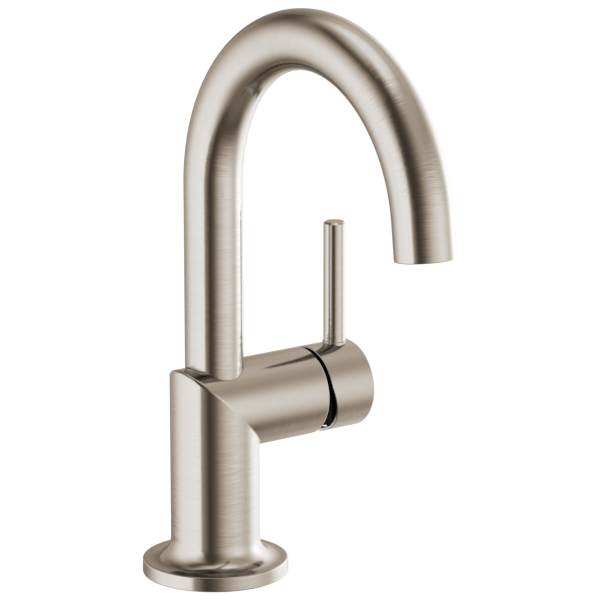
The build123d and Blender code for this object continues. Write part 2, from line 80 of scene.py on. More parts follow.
# %% [markdown]
# The camera stands where the photographer stood: a long lens, a little above the spout and to the
# left of the column. The lens is given in pixels of a 600 pixel picture and turned into the
# millimetres that Blender wants. The small shift only centres the frame as the photograph has it.

# %% Camera
picture_side = 600
picture_centre = (312.67, 297.66)
focal_pixels = 3588.4
sensor_width = 36.0
camera_place = (-0.88204, -1.21743, 0.48772)
camera_turn = radians(-37.547)
camera_drop = radians(13.647)


def new_object(name, data):
    """Object in the scene that carries this mesh or camera."""
    made = bpy.data.objects.new(name, data)
    bpy.context.scene.collection.objects.link(made)
    return made


camera_data = bpy.data.cameras.new("camera")
camera_data.sensor_width = sensor_width
camera_data.lens = focal_pixels * sensor_width / picture_side
camera_data.shift_x = (picture_side / 2 - picture_centre[0]) / picture_side
camera_data.shift_y = (picture_centre[1] - picture_side / 2) / picture_side
camera = new_object("camera", camera_data)
camera.location = camera_place
camera.rotation_euler = (pi / 2 - camera_drop, 0, camera_turn)
bpy.context.scene.camera = camera
bpy.context.scene.view_settings.view_transform = "Standard"
print("lens", round(camera_data.lens, 1), "mm")

# %% [markdown]
# Both materials and Geometry Nodes are trees of nodes. Writing them as sums in Python keeps them
# short: a Socket stands for one output, and a sum on it adds the Math node that works it out.

# %% Node trees from Python
def sum_method(operation, swapped=False):
    """Method that adds one Math node. It is swapped where the plain number stands on the left."""
    def method(self, value):
        pair = (value, self) if swapped else (self, value)
        return self.tree.math(operation, *pair)
    return method


class Socket:
    """One output of a node. Sums with numbers or other sockets add Math nodes to its tree."""

    __add__, __radd__ = sum_method("ADD"), sum_method("ADD", True)
    __sub__, __rsub__ = sum_method("SUBTRACT"), sum_method("SUBTRACT", True)
    __mul__, __rmul__ = sum_method("MULTIPLY"), sum_method("MULTIPLY", True)
    __truediv__ = sum_method("DIVIDE")

    def __init__(self, tree, output):
        self.tree = tree
        self.output = output

    def __neg__(self):
        return self * -1.0

    def other(self, name):
        """Another output of the same node."""
        return Socket(self.tree, find_socket(self.output.node.outputs, name))


def find_socket(sockets, key):
    """A socket by its number, identifier or name."""
    if isinstance(key, int):
        return sockets[key]
    for socket in sockets:
        if socket.identifier == key:
            return socket
    return sockets[key]


class Tree:
    """A node tree that Python fills: node() adds any kind of node, its settings first."""

    def __init__(self, tree):
        self.tree = tree

    def node(self, kind, inputs=(), output=0, **settings):
        made = self.tree.nodes.new(kind)
        for name, value in settings.items():
            setattr(made, name, value)
        pairs = inputs.items() if isinstance(inputs, dict) else enumerate(inputs)
        for key, value in pairs:
            socket = find_socket(made.inputs, key)
            if isinstance(value, Socket):
                self.tree.links.new(value.output, socket)
            else:
                socket.default_value = value
        if len(made.outputs) == 0:
            return made
        return Socket(self, find_socket(made.outputs, output))

    def math(self, operation, *values):
        return self.node("ShaderNodeMath", values, operation=operation)

    def vector(self, operation, *values):
        return self.node("ShaderNodeVectorMath", values, operation=operation)

    def scaled(self, direction, size):
        return self.node("ShaderNodeVectorMath", {"Vector": direction, "Scale": size}, operation="SCALE")

    def combine(self, x, y, z):
        return self.node("ShaderNodeCombineXYZ", [x, y, z])

    def separate(self, vector):
        """X of a vector. Y and Z are its other outputs."""
        return self.node("ShaderNodeSeparateXYZ", [vector])

    def noise(self, place, scale, detail, roughness=0.5):
        inputs = {"Vector": place, "Scale": scale, "Detail": detail, "Roughness": roughness}
        return self.node("ShaderNodeTexNoise", inputs)

    def mix(self, factor, first, second):
        """Colour between two colours."""
        inputs = {"Factor_Float": factor, "A_Color": first, "B_Color": second}
        return self.node("ShaderNodeMix", inputs, "Result_Color", data_type="RGBA")

    def ramp(self, value, low, high):
        """0 below low, 1 above high, and a smooth rise between them."""
        inputs = {"Value": value, "From Min": low, "From Max": high}
        return self.node("ShaderNodeMapRange", inputs, interpolation_type="SMOOTHSTEP")


def empty_tree(owner):
    """Emptied tree of a material or a world."""
    owner.use_nodes = True
    owner.node_tree.nodes.clear()
    return Tree(owner.node_tree)


def new_material(name):
    material = bpy.data.materials.new(name)
    return material, empty_tree(material)


print("node helpers ready")

# %% [markdown]
# Metal has no look of its own: it shows the room. The photograph's bands are the reflections of
# three big softboxes in a dim brown studio with a pale ceiling. Here they are painted as light on
# the inside of a shell round the faucet, each a soft round patch with a place, a size and a
# softness in degrees, seen from the middle. Patches in the world would do too, but a shell as near
# as the real softboxes also shifts the bands from the column to the spout's tip, as they shift in
# the photograph. Only mirror rays see the shell. The camera sees plain white, and matt surfaces
# get an even light from all sides. Where one piece mirrors another, the photograph is darker than
# two clean mirrors would be, most of all in light from above, so the shell is dimmer to a ray that
# comes by more than one mirror.

# %% Studio
shell_radius = 0.8
shell_height = 0.15
shell_steps = (96, 48)
seam_turn = 165.0
floor_light = 0.17
wall_light = 0.08
wall_foot = (-76.0, -48.0)
ceiling_light = 1.03
second_mirror = (0.70, 0.36)
second_heights = (12.0, 30.0)
one_mirror = 1.5
warm_level, cool_level = (0.05, 1.2)
warm_tint = (1.20, 1.0, 0.77, 1.0)
cool_tint = (0.965, 1.0, 1.042, 1.0)
even_light = (0.9, 0.9, 0.9, 1.0)
plain_white = (1.0, 1.0, 1.0, 1.0)
patches = (
    # name, brightness, then turn and height: from, to, and how soft each end is, in degrees
    ("back wall", 0.43, (-210, -115, 10, 19), (-28, 24, 9, 20)),
    ("ceiling", ceiling_light, (-400, 400, 1, 1), (59, 400, 16, 1)),
    ("right half", 0.46, (-26, 152, 32, 36), (-22, 58, 20, 3)),
    ("right shade", 0.38, (20, 72, 25, 14), (31, 43, 8, 6)),
    ("upper right", 0.60, (74, 140, 14, 14), (46, 60, 6, 4)),
    ("right bounce", 0.55, (-41, 148, 23, 12), (-39, 2, 20, 9)),
    ("left softbox", 1.09, (-153, -74, 29, 20), (-51, 42, 23, 32)),
    ("left glare", 1.16, (-108, -67, 10, 5), (-35, 15, 15, 18)),
    ("dark arch", 0.06, (-174, -52, 32, 11), (51, 76, 10, 19)),
    ("flag's edge", 0.36, (-71.5, -34, 1.5, 12), (-42, 0, 14, 16)),
    ("dark flag", 0.05, (-61, -25, 13, 28), (-56, 76, 17, 18)),
    ("front softbox", 1.09, (-1, 44, 33, 32), (-29, 20, 24, 14)),
    ("right softbox", 1.24, (67, 127, 20, 18), (-47, 28, 27, 18)),
    ("right glare", 1.64, (64, 98, 16, 12), (-15, 8, 19, 16)),
)


def window(tree, value, low, high, low_soft, high_soft):
    """1 between two angles, falling softly to 0 at each end."""
    rise = tree.ramp(value, low - low_soft, low + low_soft)
    return rise * (1.0 - tree.ramp(value, high - high_soft, high + high_soft))


def studio_light(tree):
    """Brightness of the shell by direction, then its colour: the dimmer, the warmer."""
    direction = tree.vector("NORMALIZE", tree.node("ShaderNodeTexCoord", output="Object"))
    x = tree.separate(direction)
    turn = tree.math("ARCTAN2", x, -x.other("Y")) * (180 / pi)
    turn = turn - 360.0 * tree.math("GREATER_THAN", turn, seam_turn)
    height = tree.math("ARCSINE", x.other("Z")) * (180 / pi)
    level = floor_light + (wall_light - floor_light) * tree.ramp(height, *wall_foot)
    for name, brightness, across, up in patches:
        inside = window(tree, turn, *across) * window(tree, height, *up)
        level = level + (brightness - level) * inside
    tint = tree.mix(tree.ramp(level, warm_level, cool_level), warm_tint, cool_tint)
    mirrors = tree.node("ShaderNodeLightPath", output="Glossy Depth")
    low, high = second_mirror
    dimmed = low + (high - low) * tree.ramp(height, *second_heights)
    level = level * (1.0 - (1.0 - dimmed) * tree.math("GREATER_THAN", mirrors, one_mirror))
    return level, tint


def shell():
    mesh = bpy.data.meshes.new("studio_shell")
    work = bmesh.new()
    turns, rows = shell_steps
    bmesh.ops.create_uvsphere(work, u_segments=turns, v_segments=rows, radius=shell_radius)
    work.to_mesh(mesh)
    work.free()
    material, tree = new_material("studio_light")
    level, tint = studio_light(tree)
    light = tree.node("ShaderNodeEmission", {"Color": tint, "Strength": level})
    tree.node("ShaderNodeOutputMaterial", {"Surface": light})
    mesh.materials.append(material)
    round_room = new_object("studio_shell", mesh)
    round_room.location = (0, 0, shell_height)
    for ray in ("camera", "diffuse", "transmission", "shadow"):
        setattr(round_room, "visible_" + ray, False)


def white_world():
    world = bpy.data.worlds.new("white")
    tree = empty_tree(world)
    seen = tree.node("ShaderNodeLightPath", output="Is Camera Ray")
    background = tree.node("ShaderNodeBackground", [tree.mix(seen, even_light, plain_white), 1.0])
    tree.node("ShaderNodeOutputWorld", {"Surface": background})
    return world


bpy.context.scene.world = white_world()
shell()
print("studio ready, shell of", shell_radius, "m with", len(patches), "patches")

# %% [markdown]
# The deck is a pale, wide floor at the flange's foot. The camera sees it nearly white, as in the
# photograph, with only a trace of the faucet's shadow, and the metal looks past it at the studio.

# %% Deck
deck_half_side = 3.0
deck_glow = 1.12
deck_glow_share = 0.8


def deck():
    half = deck_half_side
    corners = [(-half, -half, 0.0), (half, -half, 0.0), (half, half, 0.0), (-half, half, 0.0)]
    mesh = bpy.data.meshes.new("deck")
    mesh.from_pydata(corners, [], [(0, 1, 2, 3)])
    material, tree = new_material("pale_deck")
    matt = tree.node("ShaderNodeBsdfDiffuse", {"Color": even_light})
    white = tree.node("ShaderNodeEmission", {"Color": plain_white, "Strength": deck_glow})
    seen = tree.node("ShaderNodeLightPath", output="Is Camera Ray")
    shown = tree.node("ShaderNodeMixShader", [seen * deck_glow_share, matt, white])
    tree.node("ShaderNodeOutputMaterial", {"Surface": shown})
    mesh.materials.append(material)
    floor = new_object("deck", mesh)
    floor.visible_glossy = False


deck()
print("deck ready,", 2 * deck_half_side, "m wide")

# %% [markdown]
# Brushed nickel is plated brass, rubbed with an abrasive belt while the piece turns, so its fine
# lines run round every tube. They scatter light along the tube much more than round it: softbox
# edges stay crisp across a tube, while a reflection smears out along it. A bump would change with
# the distance it is seen from, so the lines tip the normal directly. Each point of a piece carries
# two attributes: brush, its place round and along the piece, and grain, the direction along the
# piece, as long as the lines are deep there. The lines tip the normal along the grain, and sway it
# a very little across, so that they also show where bright meets dark.

# %% Nickel
line_length = 7.0 * mm
line_widths = (0.22 * mm, 0.60 * mm)
line_tips = (0.42, 0.015)
line_sways = (0.04, 0.004)
line_tone = 0.035
line_gloss = 0.5
nickel_colour = (0.680, 0.637, 0.585)


def finish_material(tree, **inputs):
    """Ends a material's tree with a Principled shader that takes these inputs."""
    sockets = {name.replace("_", " "): value for name, value in inputs.items()}
    shader = tree.node("ShaderNodeBsdfPrincipled", sockets)
    tree.node("ShaderNodeOutputMaterial", {"Surface": shader})


def shades(colour, change):
    """A darker and a lighter shade of a colour."""
    dark = tuple((1 - change) * part for part in colour)
    light = tuple(min(1.0, (1 + change) * part) for part in colour)
    return (*dark, 1.0), (*light, 1.0)


def line_noise(tree, place, width):
    """Noise round 0 in thin lines round the piece."""
    stretched = tree.vector("MULTIPLY", place, (1.0 / line_length, 1.0 / line_length, 1.0 / width))
    return tree.noise(stretched, 1.0, 0.0) - 0.5


def brushed_nickel(name, roughness, tip):
    material, tree = new_material(name)
    place = tree.node("ShaderNodeAttribute", output="Vector", attribute_name="brush")
    lines = [line_noise(tree, place, width) for width in line_widths]
    grain = tree.node("ShaderNodeAttribute", output="Vector", attribute_name="grain")
    grain = tree.node("ShaderNodeVectorTransform", [grain], vector_type="VECTOR",
                      convert_from="OBJECT", convert_to="WORLD")
    smooth = tree.node("ShaderNodeNewGeometry", output="Normal")
    across = tree.vector("CROSS_PRODUCT", grain, smooth)
    along_grain = sum(line * (part * tip) for line, part in zip(lines, line_tips))
    across_grain = sum(line * (part * tip) for line, part in zip(lines, line_sways))
    tipped = tree.vector("ADD", smooth, tree.scaled(grain, along_grain))
    tipped = tree.vector("NORMALIZE", tree.vector("ADD", tipped, tree.scaled(across, across_grain)))
    tone = tree.mix(lines[0] + 0.5, *shades(nickel_colour, line_tone))
    rough = roughness + lines[1] * (roughness * line_gloss)
    finish_material(tree, Base_Color=tone, Metallic=1.0, Roughness=rough, Normal=tipped)
    return material


nickel = brushed_nickel("brushed_nickel", roughness=0.14, tip=1.0)
rod_nickel = brushed_nickel("fine_nickel", roughness=0.03, tip=0.45)
print("nickel ready, lines of", round(line_widths[0] / mm, 2), "and", round(line_widths[1] / mm, 2), "mm")

# %% [markdown]
# Round pieces are skins of rings: every ring has the same number of points, and each is joined to
# the next by a row of faces. It is the cleanest way to turn a profile, and the rings can leave the
# lathe's axis, as at the elbow's mitre and at a saddled foot.

# %% Rings
steps_round = 160
angles = np.linspace(0, 2 * pi, steps_round, endpoint=False)


def ring_about_z(radius, height, x=0.0):
    """Ring round an upright axis. The height may differ from point to point."""
    return np.stack([x + radius * np.cos(angles), radius * np.sin(angles), height + 0 * angles], 1)


def ring_about_x(x, radius):
    """Ring round the barrel's axis, started so that it meets the column's ring at the mitre."""
    return np.stack([x + 0 * angles, radius * np.sin(angles), barrel_height - radius * np.cos(angles)], 1)


print("rings of", steps_round, "points")

# %% [markdown]
# A turned profile is given by its corners, each with its rounding. An arc's faces are small and a
# flat's are long, and shading that runs over from one to the other would bend the flat's
# reflection, so each arc gets one more point just outside its ends.

# %% Profiles
edge_steps = 6
arc_steps_per_mm = 3
support = 0.25 * mm


def rounded(corners):
    """Points of a profile whose corners, (a, b, radius), are rounded."""
    points = [corners[0][:2]]
    for before, corner, after in zip(corners, corners[1:], corners[2:]):
        here = np.array(corner[:2])
        radius = corner[2]
        if radius == 0:
            points.append(tuple(here))
            continue
        back = np.array(before[:2]) - here
        on = np.array(after[:2]) - here
        room_back = np.linalg.norm(back)
        room_on = np.linalg.norm(on)
        back = back / room_back
        on = on / room_on
        half_turn = np.arccos(np.clip(back @ on, -1, 1)) / 2
        reach = radius / np.tan(half_turn)
        centre = here + (back + on) / np.linalg.norm(back + on) * radius / np.sin(half_turn)
        start = here + back * reach
        end = here + on * reach
        if room_back > reach + 2 * support:
            points.append(tuple(start + back * support))
        first = start - centre
        last = end - centre
        sweep = np.arccos(np.clip(first @ last / radius ** 2, -1, 1))
        for share in np.linspace(0, 1, max(edge_steps, int(radius / mm) * arc_steps_per_mm) + 1):
            arm = (np.sin((1 - share) * sweep) * first + np.sin(share * sweep) * last) / np.sin(sweep)
            points.append(tuple(centre + arm))
        if room_on > reach + 2 * support:
            points.append(tuple(end + on * support))
    points.append(corners[-1][:2])
    return points


print("profile helper ready")

# %% [markdown]
# A skin becomes one mesh object, which stays at the origin with its place in its mesh. Points that
# fall together are merged, faces are turned outwards, and edges sharper than an angle stay sharp,
# while the rest is shaded smooth. Each piece is put under the empty of the body it moves with, and
# the solids it stands for are hidden.

# %% Skins of rings
sharp_angle = radians(34)
weld = 1e-3 * mm
sliver = 1e-4 * mm
tiny = 1e-12


def finish_piece(name, mesh, material=None):
    """Closes and smooths a mesh and makes it an object. Without a material it keeps its own."""
    work = bmesh.new()
    work.from_mesh(mesh)
    bmesh.ops.remove_doubles(work, verts=work.verts, dist=weld)
    bmesh.ops.dissolve_degenerate(work, dist=sliver, edges=work.edges)
    bmesh.ops.recalc_face_normals(work, faces=work.faces)
    work.to_mesh(mesh)
    work.free()
    mesh.shade_smooth()
    mesh.set_sharp_from_angle(angle=sharp_angle)
    if material:
        mesh.materials.clear()
        mesh.materials.append(material)
    print(name, len(mesh.polygons), "faces")
    return new_object(name, mesh)


def skin(name, rings, along, material, closed=False, depth=1.0):
    """Mesh object from rings, with the attributes brush and grain. Depth is how deep the nickel's
    lines are, for all rings or for each."""
    faces = []
    for ring in range(len(rings) if closed else len(rings) - 1):
        first = ring * steps_round
        second = (ring + 1) % len(rings) * steps_round
        for step in range(steps_round):
            after = (step + 1) % steps_round
            faces.append((first + step, first + after, second + after, second + step))
    mesh = bpy.data.meshes.new(name)
    mesh.from_pydata(np.concatenate(rings).tolist(), [], faces)
    base = np.stack([column_radius * np.cos(angles), column_radius * np.sin(angles)], 1)
    places = [np.column_stack([base, np.broadcast_to(value, steps_round)]) for value in along]
    onward = np.gradient(np.stack(rings), axis=0)
    onward /= np.linalg.norm(onward, axis=2, keepdims=True) + tiny
    onward *= np.broadcast_to(depth, len(rings))[:, None, None]
    for attribute, values in (("brush", np.stack(places)), ("grain", onward)):
        made = mesh.attributes.new(attribute, "FLOAT_VECTOR", "POINT")
        made.data.foreach_set("vector", values.astype(np.float32).ravel())
    return finish_piece(name, mesh, material)


def turned(name, section, material, **options):
    """Skin turned round the barrel's axis, from the places along X and radii of its rings."""
    rings = [ring_about_x(x, radius) for x, radius in section]
    along = [barrel_height - x - (column_radius - radius) for x, radius in section]
    return skin(name, rings, along, material, **options)


def place_piece(piece, body, slot, *replaced):
    """Puts the piece under the empty of its body, so that it moves with it, and hides the solids it
    stands for. The slot is not used.
    """
    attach(piece, body)
    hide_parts(*replaced)


print("skin helpers ready")

# %% [markdown]
# The body is one casting: flange, flare, column, mitre and barrel, with its hollow inside. The
# rings start in the thread for the shank, go out under the flange, up the column, through the
# mitre, along the barrel, and come back down the inside, so that the skin closes on itself. The
# mitre is nearly sharp in front and rounder at its outer corner, where it was polished most.

# %% Body
flange_rim = 6.4 * mm
foot_edge = 0.4 * mm
rim_edge = 0.8 * mm
flare_radius = 9.5 * mm
lathe_end = 40.0 * mm
mitre_rounding = 0.6 * mm
corner_rounding = 1.8 * mm
mitre_steps = 8
mouth_start = barrel_end - 5.0 * mm
mouth_rounding = 0.7 * mm
shank_radius = 16.0 * mm
cavity_radius = 16.9 * mm
cavity_foot = 14.0 * mm
gasket_inner = 24.0 * mm
gasket_outer = 29.0 * mm
gasket_depth = 2.0 * mm
nut_thread = 17.5 * mm
nut_thread_start = 33.0 * mm
flange_lines = 0.16
column_lines = 0.5
barrel_lines = 0.12


def body():
    flange = rounded([
        (shank_radius, cavity_foot, 0), (shank_radius, 0, 0), (gasket_inner, 0, 0),
        (gasket_inner, gasket_depth, 0), (gasket_outer, gasket_depth, 0), (gasket_outer, 0, 0),
        (flange_radius, 0, foot_edge), (flange_radius, flange_rim, rim_edge),
        (column_radius, flange_rim, flare_radius), (column_radius, lathe_end, 0),
    ])
    rings = [ring_about_z(radius, height) for radius, height in flange]
    lengths = np.cumsum(np.hypot(*np.diff(flange, axis=0).T))
    along = [lathe_end - lengths[-1], *(lathe_end - lengths[-1] + lengths)]
    foot = sum(height < flange_rim + flare_radius for radius, height in flange)
    upright = len(rings) + mitre_steps // 2 + 1

    corner = np.clip(-np.cos(angles), 0, 1) ** 3
    rounding = mitre_rounding + (corner_rounding - mitre_rounding) * corner
    top = barrel_height - rounding - column_radius * np.cos(angles)
    rings.append(ring_about_z(column_radius, top - support))
    along.append(top - support)
    for turn in np.linspace(0, pi / 2, mitre_steps + 1):
        shift = np.stack([rounding * (1 - cos(turn)), 0 * rounding, rounding * sin(turn)], 1)
        rings.append(ring_about_z(column_radius, top) + shift)
        along.append(top)
    rings.append(ring_about_x(rounding + column_radius * np.cos(angles) + support, column_radius))
    along.append(top - support)

    mouth = rounded([
        (mouth_start, column_radius, 0), (barrel_end, column_radius, mouth_rounding),
        (barrel_end, nut_thread, 0), (nut_thread_start, nut_thread, 0),
        (nut_thread_start, cavity_radius, 0),
    ])
    for x, radius in mouth:
        rings.append(ring_about_x(x, radius))
        along.append(barrel_height - x - (column_radius - radius))
    inner_mitre = cavity_radius * np.cos(angles)
    rings += [ring_about_x(inner_mitre, cavity_radius), ring_about_z(cavity_radius, cavity_foot)]
    along += [barrel_height - inner_mitre, cavity_foot]
    depth = [flange_lines] * foot + [column_lines] * (upright - foot)
    depth += [barrel_lines] * (len(rings) - upright)
    return skin("faucet_body", rings, along, nickel, closed=True, depth=depth)


place_piece(body(), "root", "brushed_nickel", "body_shell")

# %% [markdown]
# Geometry Nodes make what follows a path or repeats: the spout, the bonnet's ribs and the threads.
# A tree starts with an input for every size, so that it fits another faucet too, and ends in real
# geometry with its material. Its result is taken as a plain mesh, and the carrier of the tree goes.

# %% Geometry Nodes from Python
def open_group(name, sizes):
    """Tree with an input for each size, its inputs as sockets, and the sizes for a modifier."""
    group = bpy.data.node_groups.new(name, "GeometryNodeTree")
    for way in ("INPUT", "OUTPUT"):
        group.interface.new_socket(name="Geometry", in_out=way, socket_type="NodeSocketGeometry")
    values = {}
    for part, value in sizes.items():
        made = group.interface.new_socket(name=part, in_out="INPUT", socket_type="NodeSocketFloat")
        values[made.identifier] = value
    tree = Tree(group)
    given = tree.node("NodeGroupInput")
    return tree, {part: given.other(part) for part in ("Geometry", *sizes)}, values


def join(tree, *parts):
    both = tree.node("GeometryNodeJoinGeometry")
    for part in parts:
        tree.tree.links.new(part.output, both.output.node.inputs[0])
    return both


def moved(tree, geometry, place):
    return tree.node("GeometryNodeSetPosition", {"Geometry": geometry, "Position": place})


def made_real(tree, geometry, material):
    geometry = tree.node("GeometryNodeRealizeInstances", {"Geometry": geometry})
    return tree.node("GeometryNodeSetMaterial", {"Geometry": geometry, "Material": material})


def add_nodes(carrier, tree, values):
    """Puts a tree on an object, with the values of its inputs."""
    modifier = carrier.modifiers.new("nodes", "NODES")
    modifier.node_group = tree.tree
    for identifier, value in values.items():
        modifier[identifier] = value


def grow(name, tree, values):
    """Empty object that carries a tree."""
    carrier = new_object(name, bpy.data.meshes.new(name))
    add_nodes(carrier, tree, values)
    return carrier


def harvest(carrier):
    """Plain mesh of what an object's modifiers make. The object that carried them goes."""
    view = bpy.context.evaluated_depsgraph_get()
    mesh = bpy.data.meshes.new_from_object(carrier.evaluated_get(view), depsgraph=view)
    bpy.data.objects.remove(carrier)
    return mesh


print("geometry helpers ready")

# %% [markdown]
# The spout is a straight tube, bent over a former and cut to the round of the barrel. It follows a
# path: a line is cut into short steps, each step is moved to its place on the path, a circle is
# swept along it, and the foot's rings are pulled down onto the barrel. The wall and the eased
# edges come from two ordinary modifiers. The riser was brushed deep and the bend only lightly,
# because a belt doesn't lie well on a curve.

# %% Spout
bend_radius = 71.1 * mm
bend_turn = radians(173.25)
bend_height = spout_high.z - bend_radius - spout_radius
tip_length = 15.8 * mm
spout_wall = 1.5 * mm
spout_edge = 0.45 * mm
spout_edge_steps = 5
spout_edge_angle = radians(50)
spout_steps = 220
saddle_reach = 14.0 * mm
riser_lines = 0.8
bend_lines = 0.12
bend_lines_start = (0.0, 0.16)
bend_lines_end = (0.55, 0.95)


def path_place(tree, size):
    """Place on the spout's path by the length along it, and how far the bend has turned there."""
    straight = size["Bend height"] - size["Foot height"]
    bent = size["Bend radius"] * size["Bend turn"]
    length = tree.node("GeometryNodeSplineParameter", output="Length")
    riser = tree.math("MINIMUM", length, straight)
    past = tree.math("MAXIMUM", length - straight, 0.0)
    turn = tree.math("MINIMUM", past, bent) / size["Bend radius"]
    tip = tree.math("MAXIMUM", past - bent, 0.0)
    y = size["Bend radius"] * (tree.math("COSINE", turn) - 1.0) - tip * tree.math("SINE", size["Bend turn"])
    z = size["Foot height"] + riser + size["Bend radius"] * tree.math("SINE", turn)
    z = z + tip * tree.math("COSINE", size["Bend turn"])
    return tree.combine(0.0, y, z), turn, straight + bent + size["Tip length"]


def kept_on_path(tree, path, turned):
    """The path, with each point's length, centre, direction and turn kept for the swept tube."""
    kept = tree.tree.nodes.new("GeometryNodeCaptureAttribute")
    values = {
        "Length": ("FLOAT", tree.node("GeometryNodeSplineParameter", output="Length")),
        "Centre": ("VECTOR", tree.node("GeometryNodeInputPosition")),
        "Tangent": ("VECTOR", tree.node("GeometryNodeInputTangent")),
        "Turn": ("FLOAT", turned),
    }
    for name, (kind, value) in values.items():
        kept.capture_items.new(kind, name)
    for name, (kind, value) in values.items():
        tree.tree.links.new(value.output, kept.inputs[name])
    tree.tree.links.new(path.output, kept.inputs["Geometry"])
    return Socket(tree, kept.outputs["Geometry"])


def store(tree, geometry, name, value):
    inputs = {"Geometry": geometry, "Name": name, "Value": value}
    return tree.node("GeometryNodeStoreNamedAttribute", inputs, data_type="FLOAT_VECTOR", domain="POINT")


def bent_tube(material):
    tree, size, values = open_group("bent_tube", {
        "Tube radius": spout_radius, "Foot height": crown, "Bend height": bend_height,
        "Bend radius": bend_radius, "Bend turn": bend_turn, "Tip length": tip_length,
        "Saddle radius": column_radius, "Saddle height": barrel_height, "Saddle reach": saddle_reach,
        "Riser lines": riser_lines, "Bend lines": bend_lines,
    })
    place, turn, total = path_place(tree, size)
    line = tree.node("GeometryNodeCurvePrimitiveLine", {"End": tree.combine(0.0, 0.0, total)})
    line = tree.node("GeometryNodeResampleCurve", {"Curve": line, "Count": spout_steps}, mode="COUNT")
    path = kept_on_path(tree, moved(tree, line, place), turn / size["Bend turn"])
    inputs = {"Resolution": steps_round, "Radius": size["Tube radius"]}
    circle = tree.node("GeometryNodeCurvePrimitiveCircle", inputs)
    tube = tree.node("GeometryNodeCurveToMesh", {"Curve": path, "Profile Curve": circle})

    here = tree.node("GeometryNodeInputPosition")
    across = tree.separate(here).other("Y")
    saddle = tree.math("SQRT", size["Saddle radius"] * size["Saddle radius"] - across * across)
    near = tree.math("MAXIMUM", 1.0 - path.other("Length") / size["Saddle reach"], 0.0)
    drop = (size["Saddle height"] + saddle - size["Foot height"]) * near
    arm = tree.vector("SUBTRACT", here, path.other("Centre"))
    sideways = tree.vector("CROSS_PRODUCT", path.other("Tangent"), (1.0, 0.0, 0.0))
    side = tree.node("ShaderNodeVectorMath", [arm, sideways], "Value", operation="DOT_PRODUCT")
    brush = tree.combine(tree.separate(arm), side, path.other("Length") + drop)
    bending = tree.ramp(path.other("Turn"), *bend_lines_start)
    bending = bending * (1.0 - tree.ramp(path.other("Turn"), *bend_lines_end))
    depth = size["Riser lines"] + (size["Bend lines"] - size["Riser lines"]) * bending
    tube = store(tree, tube, "brush", brush)
    tube = store(tree, tube, "grain", tree.scaled(path.other("Tangent"), depth))
    lower = tree.combine(0.0, 0.0, drop)
    tube = tree.node("GeometryNodeSetPosition", {"Geometry": tube, "Offset": lower})
    tree.node("NodeGroupOutput", {"Geometry": made_real(tree, tube, material)})
    return tree, values


def spout():
    carrier = grow("spout", *bent_tube(nickel))
    wall = carrier.modifiers.new("wall", "SOLIDIFY")
    wall.thickness = spout_wall
    wall.offset = -1.0
    edges = carrier.modifiers.new("edges", "BEVEL")
    edges.width = spout_edge
    edges.segments = spout_edge_steps
    edges.limit_method = "ANGLE"
    edges.angle_limit = spout_edge_angle
    return finish_piece("spout", harvest(carrier), nickel)


place_piece(spout(), "root", "brushed_nickel", "spout_tube")

# %% [markdown]
# Turned brass, moulded plastic, rubber and lapped ceramic have a grain of their own, and none is a
# flat colour. It is laid by place on the object, in colour, gloss and a fine relief. The black of
# The black of the bonnet is rubbed glossy on its ribs, and the inside of the cap is dull and painted dark
# as shade.

# %% Finishes
grain_detail = 3.0
grain_roughness = 0.6
broad_scale = 0.12
broad_detail = 2.0
broad_weight = 0.6
gloss_spread = 0.16
casting_grain = 0.8 * mm
casting_metallic = 0.6
casting_roughness = (0.55, 0.15)
# Painted shade: these near-black tones stand in for the shade inside the cap.
painted_shade_tones = ((0.030, 0.027, 0.023, 1.0), (0.055, 0.048, 0.040, 1.0))
black_grain = 6.0 * mm
black_spread = 0.3
black_shades = ((0.006, 0.006, 0.006, 1.0), (0.012, 0.012, 0.012, 1.0))


def grained(name, colour, metallic, roughness, grain, relief, change):
    """Finish with a fine and a broad grain, by place on the object."""
    material, tree = new_material(name)
    place = tree.node("ShaderNodeTexCoord", output="Object")
    fine = tree.noise(place, 1.0 / (grain * mm), grain_detail, grain_roughness)
    broad = tree.noise(place, broad_scale / (grain * mm), broad_detail)
    tone = tree.mix(broad * broad_weight + fine * (1 - broad_weight), *shades(colour, change))
    rough = roughness - gloss_spread / 2 + fine * gloss_spread
    bump = tree.node("ShaderNodeBump", {"Strength": 1.0, "Distance": relief * mm, "Height": fine})
    finish_material(tree, Base_Color=tone, Metallic=metallic, Roughness=rough, Normal=bump)
    return material


def painted_shade_inside():
    """Inside of the cap: dull and uneven, and painted dark as shade."""
    material, tree = new_material("painted_shade_inside")
    place = tree.node("ShaderNodeTexCoord", output="Object")
    fine = tree.noise(place, 1.0 / casting_grain, grain_detail)
    low, spread = casting_roughness
    tone = tree.mix(fine, *painted_shade_tones)
    finish_material(tree, Base_Color=tone, Metallic=casting_metallic, Roughness=low + fine * spread)
    return material


def black_plastic(name, roughness, gloss):
    """Moulded black, a little less glossy in places."""
    material, tree = new_material(name)
    place = tree.node("ShaderNodeTexCoord", output="Object")
    broad = tree.noise(place, 1.0 / black_grain, broad_detail)
    rough = roughness + broad * (roughness * black_spread)
    tone = tree.mix(broad, *black_shades)
    finish_material(tree, Base_Color=tone, Roughness=rough, Specular_IOR_Level=gloss)
    return material


